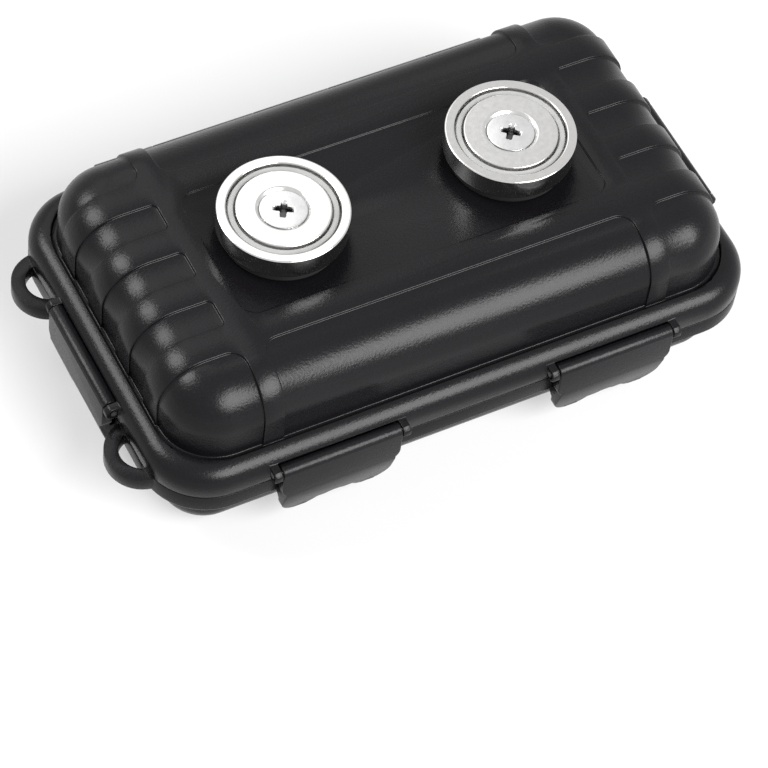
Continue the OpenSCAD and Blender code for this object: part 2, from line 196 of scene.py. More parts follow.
class KeyBoxSizes(bpy.types.PropertyGroup):
    """Small sizes that only the finished look has."""

    lid_edge: FloatProperty(
        name="Lid edge", description="Rounding of the lid's sharp edges",
        subtype="DISTANCE", unit="LENGTH", min=0.00005, max=0.0006, default=0.0002)
    base_edge: FloatProperty(
        name="Base edge", description="Rounding of the base's sharp edges, under half its thinnest strip",
        subtype="DISTANCE", unit="LENGTH", min=0.00003, max=0.00007, default=0.00006)
    latch_edge: FloatProperty(
        name="Latch edge", description="Rounding of the latches' sharp edges",
        subtype="DISTANCE", unit="LENGTH", min=0.00005, max=0.0006, default=0.00022)
    turned_edge: FloatProperty(
        name="Turned edge", description="Rounding of the magnets' turned edges",
        subtype="DISTANCE", unit="LENGTH", min=0.00005, max=0.0006, default=0.00022)
    turned_sides: IntProperty(
        name="Turned sides", description="Steps round a turned piece", min=32, max=256, default=160)
    recess_depth: FloatProperty(
        name="Recess depth", description="Depth of the cross in a screw's head",
        subtype="DISTANCE", unit="LENGTH", min=0.0005, max=0.003, default=0.0017)
    foam_swell: FloatProperty(
        name="Foam swell", description="How far a foam pad may swell from its cut shape",
        subtype="DISTANCE", unit="LENGTH", min=0, max=0.002, default=0.0004)


class KeyBoxStage(bpy.types.PropertyGroup):
    """Floor, light and camera."""

    key_power: FloatProperty(
        name="Key light", description="Power of the soft light at the front right",
        unit="POWER", min=0, max=100, default=25.0)
    back_power: FloatProperty(
        name="Back light", description="Power of the soft light over the back",
        unit="POWER", min=0, max=100, default=1.6)
    side_power: FloatProperty(
        name="Side light", description="Power of the soft light over the loops' end",
        unit="POWER", min=0, max=100, default=9.0)
    room_light: FloatProperty(
        name="Room light", description="Strength of the even light all round",
        min=0, max=2, default=0.1)
    floor_colour: FloatVectorProperty(
        name="Floor", description="Colour of the floor", subtype="COLOR",
        size=3, min=0, max=1, default=(0.34, 0.34, 0.34))
    near_glow: FloatProperty(
        name="Floor near the box", description="Glow that camera and mirrors see on the floor near the box",
        min=0, max=1, default=0.46)
    far_glow: FloatProperty(
        name="Floor further away", description="Glow that camera and mirrors see on the floor further out",
        min=0, max=1, default=0.9)
    focal_length: FloatProperty(
        name="Focal length", description="Camera's focal length in millimetres on a 36 mm frame",
        unit="CAMERA", min=20, max=400, default=175.14)


# ---------------------------------------------------------------- shader building


def add(tree, kind, inputs=None, **settings):
    """Adds a node, sets it, and links or fills the inputs that are named."""
    made = tree.nodes.new(kind)
    for key, value in settings.items():
        setattr(made, key, value)
    for key, value in (inputs or {}).items():
        if isinstance(value, bpy.types.NodeSocket):
            tree.links.new(value, made.inputs[key])
        else:
            made.inputs[key].default_value = value
    return made


def math_node(tree, operation, *values):
    made = add(tree, "ShaderNodeMath", dict(enumerate(values)), operation=operation)
    return made.outputs[0]


def group_node(tree, group, **values):
    """A group's outputs, with its inputs linked or filled by their names in lower case."""
    titled = {key.replace("_", " ").title(): value for key, value in values.items()}
    made = tree.nodes.new("ShaderNodeGroup")
    made.node_tree = group
    for label, value in titled.items():
        if isinstance(value, bpy.types.NodeSocket):
            tree.links.new(value, made.inputs[label])
        else:
            made.inputs[label].default_value = value
    return made.outputs


def ramp(tree, value, low, high):
    """The value spread from low to high, where it ran from 0 to 1."""
    made = add(tree, "ShaderNodeMapRange", {"Value": value, "To Min": low, "To Max": high})
    return made.outputs["Result"]


def background_seen(tree):
    """1 where the camera sees the background, also in a shine or through glass, and 0 for light."""
    path = add(tree, "ShaderNodeLightPath").outputs
    mirrored = math_node(tree, "MAXIMUM", path["Is Glossy Ray"], path["Is Transmission Ray"])
    return math_node(tree, "MAXIMUM", path["Is Camera Ray"], mirrored)


def shader_group(name, inputs, outputs):
    """An empty group with its sockets, given as (name, type, default) and (name, type)."""
    tree = bpy.data.node_groups.new(name, "ShaderNodeTree")
    for label, kind, value in inputs:
        socket = tree.interface.new_socket(label, in_out="INPUT", socket_type=kind)
        if value is not None:
            socket.default_value = value
    for label, kind in outputs:
        tree.interface.new_socket(label, in_out="OUTPUT", socket_type=kind)
    return tree, add(tree, "NodeGroupInput").outputs, add(tree, "NodeGroupOutput").inputs


def moulded_grain():
    """Fine spark-eroded grain with slow changes of gloss over it."""
    if "moulded_grain" in bpy.data.node_groups:
        return bpy.data.node_groups["moulded_grain"]
    tree, given, result = shader_group(
        "moulded_grain",
        [("Place", "NodeSocketVector", None), ("Speck Size", "NodeSocketFloat", 0.0003),
         ("Cloud Size", "NodeSocketFloat", 0.02)],
        [("Height", "NodeSocketFloat"), ("Speck", "NodeSocketFloat"), ("Cloud", "NodeSocketFloat")])
    cell_scale, cell_share = 0.62, 0.45
    scale = math_node(tree, "DIVIDE", 1.0, given["Speck Size"])
    fine = add(tree, "ShaderNodeTexNoise",
               {"Vector": given["Place"], "Scale": scale, "Detail": 2.0, "Roughness": 0.6})
    cells = add(tree, "ShaderNodeTexVoronoi",
                {"Vector": given["Place"], "Scale": math_node(tree, "MULTIPLY", scale, cell_scale)})
    height = math_node(tree, "ADD", fine.outputs["Fac"],
                       math_node(tree, "MULTIPLY", cells.outputs["Distance"], cell_share))
    slow = add(tree, "ShaderNodeTexNoise",
               {"Vector": given["Place"],
                "Scale": math_node(tree, "DIVIDE", 1.0, given["Cloud Size"]),
                "Detail": 3.0, "Roughness": 0.55})
    for name, value in (("Height", height), ("Speck", fine.outputs["Fac"]), ("Cloud", slow.outputs["Fac"])):
        tree.links.new(value, result[name])
    return tree


def turning_marks():
    """Fine rings about each magnet's axis, and a broken haze over them."""
    if "turning_marks" in bpy.data.node_groups:
        return bpy.data.node_groups["turning_marks"]
    tree, given, result = shader_group(
        "turning_marks",
        [("Place", "NodeSocketVector", None), ("Axis Distance", "NodeSocketFloat", 0.0237),
         ("Ring Pitch", "NodeSocketFloat", 0.0002)],
        [("Height", "NodeSocketFloat"), ("Haze", "NodeSocketFloat")])
    place = add(tree, "ShaderNodeSeparateXYZ", {0: given["Place"]})
    x = math_node(tree, "SUBTRACT", math_node(tree, "ABSOLUTE", place.outputs["X"]), given["Axis Distance"])
    radius = math_node(tree, "SQRT", math_node(
        tree, "ADD", math_node(tree, "POWER", x, 2.0), math_node(tree, "POWER", place.outputs["Y"], 2.0)))
    steps = math_node(tree, "DIVIDE", radius, given["Ring Pitch"])
    rings = add(tree, "ShaderNodeTexNoise", {"W": steps, "Scale": 1.0, "Detail": 3.0}, noise_dimensions="1D")
    haze = add(tree, "ShaderNodeTexNoise", {"Vector": given["Place"], "Scale": 900.0, "Detail": 4.0})
    tree.links.new(rings.outputs["Fac"], result["Height"])
    tree.links.new(haze.outputs["Fac"], result["Haze"])
    return tree


def open_cells():
    """Open foam cells: holes between thin walls, the holes painted dark as painted shade."""
    if "open_cells" in bpy.data.node_groups:
        return bpy.data.node_groups["open_cells"]
    tree, given, result = shader_group(
        "open_cells",
        [("Place", "NodeSocketVector", None), ("Cell Size", "NodeSocketFloat", 0.001)],
        [("Height", "NodeSocketFloat"), ("Wall", "NodeSocketFloat")])
    cell_share, wobble_share = 0.8, 0.5
    scale = math_node(tree, "DIVIDE", 1.0, given["Cell Size"])
    wobble = add(tree, "ShaderNodeTexNoise", {"Vector": given["Place"], "Scale": scale, "Detail": 3.0})
    cells = add(tree, "ShaderNodeTexVoronoi", {"Vector": given["Place"], "Scale": scale, "Randomness": 1.0})
    height = math_node(tree, "ADD", math_node(tree, "MULTIPLY", cells.outputs["Distance"], cell_share),
                       math_node(tree, "MULTIPLY", wobble.outputs["Fac"], wobble_share))
    tree.links.new(height, result["Height"])
    tree.links.new(cells.outputs["Distance"], result["Wall"])
    return tree


def start_material(name, **values):
    """A material whose shader has the constant values given, with its tree and place."""
    made = bpy.data.materials.new(name)
    made.use_nodes = True
    tree = made.node_tree
    shader = tree.nodes["Principled BSDF"]
    for key, value in values.items():
        label = key.replace("_", " ").title().replace("Ior", "IOR")
        shader.inputs[label].default_value = value
    place = add(tree, "ShaderNodeTexCoord").outputs["Object"]
    return made, tree, shader, place


def shaded(tree, shader, factor, colour, darker, lighter):
    """Links a base colour that runs between a darker and a lighter shade of one colour.

    A colour mix has its two colours at inputs 6 and 7 and its result at output 2.
    """
    mix = add(tree, "ShaderNodeMix", {0: factor}, data_type="RGBA")
    mix.inputs[6].default_value = (*(c * darker for c in colour), 1)
    mix.inputs[7].default_value = (*(min(c * lighter, 1) for c in colour), 1)
    tree.links.new(mix.outputs[2], shader.inputs["Base Color"])


def roughened(tree, shader, factor, low, high):
    """Links a roughness that runs from low to high."""
    tree.links.new(ramp(tree, factor, low, high), shader.inputs["Roughness"])


def bumped(tree, shader, height, depth, strength=1.0):
    """Links a relief of the depth given."""
    bump = add(tree, "ShaderNodeBump", {"Height": height, "Distance": depth, "Strength": strength})
    tree.links.new(bump.outputs["Normal"], shader.inputs["Normal"])


def moulded_plastic(name, finish, rougher=0.0, tone=1.0):
    """The case's plastic, which may be rougher or paler on a piece moulded by itself."""
    made, tree, shader, place = start_material(name, specular_ior_level=0.16)
    grain = group_node(tree, moulded_grain(), place=place, speck_size=finish.grain_size, cloud_size=22 * MM)
    colour = [c * tone for c in finish.plastic_colour]
    shaded(tree, shader, grain["Speck"], colour, darker=0.7, lighter=1.35)
    mean = finish.plastic_roughness + rougher
    cloud_spread, speck_spread = 0.05, 0.08
    cloud = ramp(tree, grain["Cloud"], mean - cloud_spread, mean + cloud_spread)
    speck = ramp(tree, grain["Speck"], -speck_spread, speck_spread)
    tree.links.new(math_node(tree, "ADD", cloud, speck), shader.inputs["Roughness"])
    bumped(tree, shader, grain["Height"], finish.grain_depth)
    return made


def soft_rubber(name, finish):
    """Dull rubber with cloudy patches."""
    made, tree, shader, place = start_material(name, specular_ior_level=0.3)
    grain = group_node(tree, moulded_grain(), place=place, speck_size=0.6 * MM, cloud_size=6 * MM)
    shaded(tree, shader, grain["Cloud"], finish.rubber_colour, darker=0.7, lighter=1.6)
    roughened(tree, shader, grain["Cloud"], low=0.55, high=0.8)
    bumped(tree, shader, grain["Height"], depth=0.03 * MM)
    return made


def plated(name, colour, pitch, low, high, depth):
    """Nickel plating over turning marks of the pitch and depth given, with roughness from low to high."""
    made, tree, shader, place = start_material(name, metallic=1.0)
    marks = group_node(tree, turning_marks(), place=place, axis_distance=magnet_place(), ring_pitch=pitch)
    shaded(tree, shader, marks["Haze"], colour, darker=0.93, lighter=1.05)
    roughened(tree, shader, marks["Haze"], low, high)
    bumped(tree, shader, marks["Height"], depth)
    return made


def drawn_steel(name, colour, roughness, shade_below=-1.0):
    """Plain or zinc-plated steel, painted dark below a height as painted shade, such as in a screw's recess.
    """
    made, tree, shader, place = start_material(name, metallic=1.0)
    grain = group_node(tree, moulded_grain(), place=place, speck_size=0.5 * MM, cloud_size=4 * MM)
    height = add(tree, "ShaderNodeSeparateXYZ", {0: place}).outputs["Z"]
    # Below the height the colour is painted near black as painted shade. Above it the cloud gives a random
    # tone.
    unshaded = add(tree, "ShaderNodeMapRange", {
        "Value": height, "From Min": shade_below - RECESS_SHADE_FADE, "From Max": shade_below}).outputs["Result"]
    recess_shade_and_tone = math_node(tree, "MULTIPLY", unshaded, ramp(tree, grain["Cloud"], 0.6, 1.0))
    shaded(tree, shader, recess_shade_and_tone, colour, darker=0.12, lighter=1.1)
    roughened(tree, shader, grain["Cloud"], low=roughness - 0.08, high=roughness + 0.1)
    bumped(tree, shader, grain["Height"], depth=0.006 * MM)
    return made


def potting_resin(name, finish):
    """Poured grey resin with a slightly uneven skin."""
    made, tree, shader, place = start_material(name, specular_ior_level=0.45)
    grain = group_node(tree, moulded_grain(), place=place, speck_size=1.2 * MM, cloud_size=3 * MM)
    shaded(tree, shader, grain["Cloud"], finish.resin_colour, darker=0.8, lighter=1.15)
    roughened(tree, shader, grain["Cloud"], low=0.28, high=0.5)
    bumped(tree, shader, grain["Height"], depth=0.02 * MM)
    return made


def foam_skin(name, finish):
    """Dark open-cell foam."""
    made, tree, shader, place = start_material(
        name, specular_ior_level=0.2, roughness=0.95, sheen_weight=0.05, sheen_roughness=0.6)
    cells = group_node(tree, open_cells(), place=place, cell_size=finish.cell_size)
    # The holes are painted darker than the walls, as painted shade inside the pores.
    shaded(tree, shader, cells["Wall"], finish.foam_colour, darker=0.45, lighter=1.9)
    bumped(tree, shader, cells["Height"], depth=0.25 * MM, strength=0.8)
    return made


# ---------------------------------------------------------------- mesh building


def new_object(name, mesh):
    made = bpy.data.objects.new(name, mesh)
    bpy.context.scene.collection.objects.link(made)
    return made


def shaped(name, shape):
    """An object made from a bmesh, smooth and with its faces pointing outwards."""
    bmesh.ops.recalc_face_normals(shape, faces=shape.faces)
    for face in shape.faces:
        face.smooth = True
    mesh = bpy.data.meshes.new(name)
    shape.to_mesh(mesh)
    shape.free()
    return new_object(name, mesh)


def coated(mesh, material):
    """Gives a mesh one material."""
    mesh.materials.clear()
    mesh.materials.append(material)


def finished(piece, body, material, slot, *nodes):
    """Gives a piece its material and body, and hides the nodes it stands for. The slot is not used."""
    coated(piece.data, material)
    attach(piece, body)
    if nodes:
        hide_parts(*nodes)


def applied(piece):
    """Turns a piece's modifiers into plain mesh."""
    bpy.context.view_layer.update()
    graph = bpy.context.evaluated_depsgraph_get()
    mesh = bpy.data.meshes.new_from_object(piece.evaluated_get(graph))
    piece.modifiers.clear()
    old, piece.data = piece.data, mesh
    mesh.name = piece.name
    bpy.data.meshes.remove(old)


def joined_copy(node, name, flat=False):
    """A node's mesh with its loose triangles joined, and where asked made into whole flat faces."""
    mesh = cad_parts[node].data.copy()
    mesh.name = name
    shape = bmesh.new()
    shape.from_mesh(mesh)
    bmesh.ops.remove_doubles(shape, verts=shape.verts, dist=WELD)
    if flat:
        bmesh.ops.dissolve_limit(shape, angle_limit=FLAT_ANGLE, verts=shape.verts, edges=shape.edges)
    shape.to_mesh(mesh)
    shape.free()
    return mesh


def eased_copy(node, name, width, segments=2):
    """A copy of a node with its sharp edges rounded."""
    mesh = joined_copy(node, name, flat=True)
    if mesh.has_custom_normals:
        mesh.normals_split_custom_set_from_vertices([v.normal for v in mesh.vertices])
    piece = new_object(name, mesh)
    bevel = piece.modifiers.new("edges", "BEVEL")
    bevel.width = width
    bevel.segments = segments
    bevel.limit_method = "ANGLE"
    bevel.angle_limit = ROUNDED_ANGLE
    bevel.use_clamp_overlap = False
    applied(piece)
    piece.data.set_sharp_from_angle(angle=CREASE_ANGLE)
    return piece


def rounded_outline(points, radius, steps=3):
    """A closed outline of (distance, height) with each corner rounded.

    A point on each side of a rounding keeps the flat stretches flat.
    """
    longest_share, support = 0.4, 1.2
    result = []
    for i, here in enumerate(points):
        here = Vector(here)
        back = Vector(points[i - 1]) - here
        ahead = Vector(points[(i + 1) % len(points)]) - here
        reach = min(radius, back.length * longest_share, ahead.length * longest_share)
        start = here + back.normalized() * reach
        end = here + ahead.normalized() * reach
        result.append(here + back.normalized() * reach * support)
        for k in range(steps + 1):
            t = k / steps
            result.append((1 - t) ** 2 * start + 2 * t * (1 - t) * here + t * t * end)
        result.append(here + ahead.normalized() * reach * support)
    return result


def turned(name, points, radius, sides):
    """A closed ring turned about Z from an outline that doesn't touch the axis."""
    outline = rounded_outline(points, radius)
    shape = bmesh.new()
    rings = []
    for k in range(sides):
        a = 2 * math.pi * k / sides
        rings.append([shape.verts.new((p.x * math.cos(a), p.x * math.sin(a), p.y)) for p in outline])
    for k in range(sides):
        here, there = rings[k], rings[(k + 1) % sides]
        for i in range(len(outline)):
            j = (i + 1) % len(outline)
            shape.faces.new((here[i], there[i], there[j], here[j]))
    return shaped(name, shape)


def cross_depth(radius, angle, head, recess):
    """Depth of a screw's recess: two tapered wings that meet in a deeper middle."""
    x, y = abs(radius * math.cos(angle)), abs(radius * math.sin(angle))
    along, across = max(x, y), min(x, y)
    wing = max(0.0, 1 - along / (WING_SHARE * head))
    half_width = WING_HALF_WIDTH + WING_TAPER * wing
    edge = min(1.0, max(0.0, (half_width - across) / WING_EDGE))
    middle = min(1.0, max(0.0, (MIDDLE_RADIUS - math.hypot(x, y)) / MIDDLE_EDGE))
    return recess * max(min(1.0, WING_SLOPE * wing) * edge, middle)


def cross_head_screw(name, head, shank, length, recess):
    """A countersunk screw whose top lies at z = 0, with a tapered cross pressed into its head."""
    shape = bmesh.new()
    rings = []

    def ring(radius, height):
        made = []
        for k in range(HEAD_SIDES):
            a = 2 * math.pi * k / HEAD_SIDES
            made.append(shape.verts.new((radius * math.cos(a), radius * math.sin(a), height(a))))
        rings.append(made)

    for step in range(HEAD_RINGS):
        r = head * CROWN_SHARE * (step + 1) / HEAD_RINGS
        drop = CROWN_HEIGHT * (r / head) ** 2
        ring(r, lambda a, r=r, drop=drop: -drop - cross_depth(r, a, head, recess))
    ring(head, lambda a: -EDGE_DROP)
    ring(head, lambda a: -LAND_DROP)
    ring(shank, lambda a: -LAND_DROP - (head - shank))
    ring(shank, lambda a: -length + TIP_CHAMFER)
    ring(shank - TIP_CHAMFER, lambda a: -length)
    top = shape.verts.new((0, 0, -recess))
    end = shape.verts.new((0, 0, -length))
    for k in range(HEAD_SIDES):
        n = (k + 1) % HEAD_SIDES
        for inner, outer in zip(rings, rings[1:]):
            shape.faces.new((inner[k], outer[k], outer[n], inner[n]))
        shape.faces.new((top, rings[0][k], rings[0][n]))
        shape.faces.new((end, rings[-1][n], rings[-1][k]))
    screw = shaped(name, shape)
    screw.data.set_sharp_from_angle(angle=SCREW_CREASE_ANGLE)
    return screw


# ---------------------------------------------------------------- geometry nodes


def geometry_tree(name, sockets):
    """An empty modifier tree with a geometry in and out and its named inputs."""
    tree = bpy.data.node_groups.new(name, "GeometryNodeTree")
    tree.interface.new_socket("Geometry", in_out="INPUT", socket_type="NodeSocketGeometry")
    for label, kind, value in sockets:
        socket = tree.interface.new_socket(label, in_out="INPUT", socket_type=kind)
        if value is not None:
            socket.default_value = value
    tree.interface.new_socket("Geometry", in_out="OUTPUT", socket_type="NodeSocketGeometry")
    return tree, add(tree, "NodeGroupInput").outputs, add(tree, "NodeGroupOutput").inputs


def pair_tree():
    """Sets the piece on both magnets' axes, each copy turned by its own amount.

    A random number has its least and most at inputs 2 and 3 and its result at output 1.
    """
    if "set_on_both_magnets" in bpy.data.node_groups:
        return bpy.data.node_groups["set_on_both_magnets"]
    tree, given, result = geometry_tree("set_on_both_magnets", [
        ("Axis Distance", "NodeSocketFloat", 0.0237), ("Height", "NodeSocketFloat", 0.0),
        ("Turn", "NodeSocketFloat", 0.0), ("Seed", "NodeSocketInt", SCREW_SEED),
        ("Material", "NodeSocketMaterial", None)])
    least_share, most_share = 0.35, 1.0
    start = add(tree, "ShaderNodeCombineXYZ", {
        "X": math_node(tree, "MULTIPLY", given["Axis Distance"], -1.0), "Z": given["Height"]})
    step = add(tree, "ShaderNodeCombineXYZ", {"X": math_node(tree, "MULTIPLY", given["Axis Distance"], 2.0)})
    points = add(tree, "GeometryNodeMeshLine",
                 {"Count": 2, "Start Location": start.outputs[0], "Offset": step.outputs[0]})
    turn = add(tree, "FunctionNodeRandomValue", {"Seed": given["Seed"]}, data_type="FLOAT")
    turn.inputs[2].default_value = least_share
    turn.inputs[3].default_value = most_share
    spin = add(tree, "ShaderNodeCombineXYZ", {
        "Z": math_node(tree, "MULTIPLY", turn.outputs[1], given["Turn"])})
    placed = add(tree, "GeometryNodeInstanceOnPoints", {
        "Points": points.outputs[0], "Instance": given["Geometry"], "Rotation": spin.outputs[0]})
    real = add(tree, "GeometryNodeRealizeInstances", {0: placed.outputs[0]})
    set_material = add(tree, "GeometryNodeSetMaterial",
                       {"Geometry": real.outputs[0], "Material": given["Material"]})
    tree.links.new(set_material.outputs[0], result["Geometry"])
    return tree


def seal_tree():
    """Sweeps a rounded strip along a rectangle with round corners."""
    corner_steps, strip_steps = 20, 4
    tree, given, result = geometry_tree("swept_seal", [
        ("Length", "NodeSocketFloat", 0.12), ("Width", "NodeSocketFloat", 0.07),
        ("Corner", "NodeSocketFloat", 0.01), ("Strip Width", "NodeSocketFloat", 0.0024),
        ("Strip Height", "NodeSocketFloat", 0.0013), ("Rounding", "NodeSocketFloat", 0.0004),
        ("Height", "NodeSocketFloat", 0.0), ("Material", "NodeSocketMaterial", None)])
    path = add(tree, "GeometryNodeCurvePrimitiveQuadrilateral",
               {"Width": given["Length"], "Height": given["Width"]})
    bent = add(tree, "GeometryNodeFilletCurve",
               {"Curve": path.outputs[0], "Radius": given["Corner"], "Limit Radius": True,
                "Count": corner_steps}, mode="POLY")
    strip = add(tree, "GeometryNodeCurvePrimitiveQuadrilateral",
                {"Width": given["Strip Width"], "Height": given["Strip Height"]})
    soft = add(tree, "GeometryNodeFilletCurve",
               {"Curve": strip.outputs[0], "Radius": given["Rounding"], "Limit Radius": True,
                "Count": strip_steps}, mode="POLY")
    swept = add(tree, "GeometryNodeCurveToMesh", {"Curve": bent.outputs[0], "Profile Curve": soft.outputs[0]})
    lift = add(tree, "ShaderNodeCombineXYZ", {"Z": given["Height"]})
    moved = add(tree, "GeometryNodeTransform", {"Geometry": swept.outputs[0], "Translation": lift.outputs[0]})
    smooth = add(tree, "GeometryNodeSetShadeSmooth", {"Geometry": moved.outputs[0]})
    real = add(tree, "GeometryNodeRealizeInstances", {0: smooth.outputs[0]})
    set_material = add(tree, "GeometryNodeSetMaterial",
                       {"Geometry": real.outputs[0], "Material": given["Material"]})
    tree.links.new(set_material.outputs[0], result["Geometry"])
    return tree


def run_tree(piece, tree, values):
    """Runs a tree on a piece with its named inputs filled, and keeps the result as plain mesh."""
    modifier = piece.modifiers.new(tree.name, "NODES")
    modifier.node_group = tree
    for item in tree.interface.items_tree:
        if item.in_out == "INPUT" and item.name in values:
            modifier[item.identifier] = values[item.name]
    applied(piece)


def on_both_magnets(piece, height, material, turn=0.0):
    """Sets the piece on both magnets' axes at one height."""
    run_tree(piece, pair_tree(), {
        "Axis Distance": magnet_place(), "Height": height, "Turn": turn, "Seed": SCREW_SEED,
        "Material": material})


# ---------------------------------------------------------------- operators


class KEYBOX_OT_shells(bpy.types.Operator):
    """Makes the moulded lid and base with eased edges"""

    bl_idname = "keybox.shells"
    bl_label = "Lid and Base"

    def execute(self, context):
        box = context.scene.key_box
        material = moulded_plastic("case_plastic", box.finish)
        for body, edge in (("lid", box.sizes.lid_edge), ("base", box.sizes.base_edge)):
            piece = eased_copy(body + "_shell", body + "_case", edge)
            finished(piece, body, material, "case_plastic", body + "_shell")
        return {"FINISHED"}


class KEYBOX_OT_latches(bpy.types.Operator):
    """Makes the four latches with eased edges"""

    bl_idname = "keybox.latches"
    bl_label = "Latches"

    def execute(self, context):
        box = context.scene.key_box
        material = moulded_plastic("latch_plastic", box.finish, rougher=0.02, tone=1.15)
        for name in LATCHES:
            latch = "latch_" + name
            piece = eased_copy(latch, latch + "_moulded", box.sizes.latch_edge, segments=3)
            finished(piece, latch, material, "case_plastic", latch)
        return {"FINISHED"}


class KEYBOX_OT_pins(bpy.types.Operator):
    """Gives the hinge pin and the latch pins their drawn steel"""

    bl_idname = "keybox.pins"
    bl_label = "Pins"

    def execute(self, context):
        material = drawn_steel("pin_steel", context.scene.key_box.finish.pin_colour, roughness=0.32)
        for node in ["hinge_pin"] + ["latch_pin_" + name for name in LATCHES]:
            coated(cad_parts[node].data, material)
        return {"FINISHED"}


class KEYBOX_OT_cups(bpy.types.Operator):
    """Turns the magnets' nickel-plated cups"""

    bl_idname = "keybox.cups"
    bl_label = "Magnet Cups"

    def execute(self, context):
        box = context.scene.key_box
        radius, foot, face = turned_size("magnet_cup_left")
        inside = turned_size("resin_ring_left")[0] + SEAT_GAP
        height = face - foot
        floor = turned_size("magnet_core_left")[1] - foot
        outline = [(BORE_RADIUS, 0), (radius, 0), (radius, height), (inside, height), (inside, floor),
                   (BORE_RADIUS, floor)]
        cup = turned("magnet_cups", outline, CUP_ROUNDING, box.sizes.turned_sides)
        material = plated("cup_nickel", box.finish.nickel_colour,
                          pitch=0.25 * MM, low=0.07, high=0.16, depth=0.002 * MM)
        on_both_magnets(cup, foot, material)
        finished(cup, "lid", material, "cup_nickel", "magnet_cup_left", "magnet_cup_right")
        return {"FINISHED"}


class KEYBOX_OT_discs(bpy.types.Operator):
    """Turns the countersunk magnets that lie in the cups"""

    bl_idname = "keybox.discs"
    bl_label = "Magnet Discs"

    def execute(self, context):
        box = context.scene.key_box
        face = turned_size("magnet_cup_left")[2]
        radius, foot, _ = turned_size("magnet_core_left")
        bore = BORE_RADIUS + SEAT_GAP
        thickness = face - foot
        outline = [(bore, -thickness), (radius, -thickness), (radius, 0), (SINK_RADIUS, 0),
                   (bore, BORE_RADIUS - SINK_RADIUS)]
        disc = turned("magnet_discs", outline, box.sizes.turned_edge, box.sizes.turned_sides)
        material = plated("core_nickel", box.finish.nickel_colour,
                          pitch=0.4 * MM, low=0.12, high=0.26, depth=0.003 * MM)
        on_both_magnets(disc, face, material)
        finished(disc, "lid", material, "core_nickel", "magnet_core_left", "magnet_core_right")
        return {"FINISHED"}


class KEYBOX_OT_resin(bpy.types.Operator):
    """Pours the resin rings between cup and magnet, with a narrow groove left on each side"""

    bl_idname = "keybox.resin"
    bl_label = "Resin Rings"

    def execute(self, context):
        box = context.scene.key_box
        outside, _, top = turned_size("resin_ring_left")
        inside, foot, _ = turned_size("magnet_core_left")
        bottom = foot - top
        slope_foot = GROOVE_RISE - GROOVE_DEPTH
        outline = [
            (inside + SEAT_GAP, bottom), (outside, bottom), (outside, -GROOVE_DEPTH),
            (outside - GROOVE_FLOOR, slope_foot), (outside - GROOVE_MOUTH, 0),
            (inside + GROOVE_MOUTH, 0), (inside + GROOVE_FLOOR, slope_foot),
            (inside + SEAT_GAP, -GROOVE_DEPTH)]
        resin = turned("resin_rings", outline, RESIN_ROUNDING, box.sizes.turned_sides)
        material = potting_resin("resin", box.finish)
        on_both_magnets(resin, top, material)
        finished(resin, "lid", material, "resin", "resin_ring_left", "resin_ring_right")
        return {"FINISHED"}


class KEYBOX_OT_pads(bpy.types.Operator):
    """Turns the rubber pads under the magnets"""

    bl_idname = "keybox.pads"
    bl_label = "Rubber Pads"

    def execute(self, context):
        box = context.scene.key_box
        radius, foot, _ = turned_size("magnet_pad_left")
        height = turned_size("magnet_cup_left")[1] - foot
        outline = [(BORE_RADIUS, 0), (radius, 0), (radius, height), (BORE_RADIUS, height)]
        pad = turned("magnet_pads", outline, PAD_ROUNDING, box.sizes.turned_sides)
        material = soft_rubber("pad_rubber", box.finish)
        on_both_magnets(pad, foot, material)
        finished(pad, "lid", material, "pad_rubber", "magnet_pad_left", "magnet_pad_right")
        return {"FINISHED"}


class KEYBOX_OT_screws(bpy.types.Operator):
    """Makes the two countersunk cross-head screws"""

    bl_idname = "keybox.screws"
    bl_label = "Screws"

    def execute(self, context):
        box = context.scene.key_box
        head, foot, top = turned_size("screw_left")
        screw = cross_head_screw("magnet_screws", head, SHANK_RADIUS, top - foot, box.sizes.recess_depth)
        # The screws' recesses are painted dark, as painted shade.
        material = drawn_steel("screw_zinc", box.finish.screw_colour, roughness=0.24,
                               shade_below=top - RECESS_SHADE_DEPTH)
        on_both_magnets(screw, top, material, turn=SCREW_TURN)
        finished(screw, "lid", material, "screw_zinc", "screw_left", "screw_right")
        return {"FINISHED"}


class KEYBOX_OT_nuts(bpy.types.Operator):
    """Gives the washers and nuts under the foam their zinc"""

    bl_idname = "keybox.nuts"
    bl_label = "Washers and Nuts"

    def execute(self, context):
        material = drawn_steel("nut_zinc", context.scene.key_box.finish.nut_colour, roughness=0.34)
        for node in ("washer", "nut"):
            for side in SIDES:
                coated(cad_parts[node + "_" + side].data, material)
        return {"FINISHED"}


class KEYBOX_OT_seal(bpy.types.Operator):
    """Sweeps the rubber seal along its groove in the lid"""

    bl_idname = "keybox.seal"
    bl_label = "Seal"

    def execute(self, context):
        low, high = low_high("seal_ring")
        seal = new_object("rim_seal", bpy.data.meshes.new("rim_seal"))
        material = soft_rubber("seal_rubber", context.scene.key_box.finish)
        run_tree(seal, seal_tree(), {
            "Length": high.x - low.x - SEAL_WIDTH, "Width": high.y - low.y - SEAL_WIDTH,
            "Corner": SEAL_CORNER, "Strip Width": SEAL_WIDTH, "Strip Height": high.z - low.z,
            "Rounding": SEAL_ROUNDING, "Height": (high.z + low.z) / 2, "Material": material})
        finished(seal, "lid", material, "seal_rubber", "seal_ring")
        return {"FINISHED"}


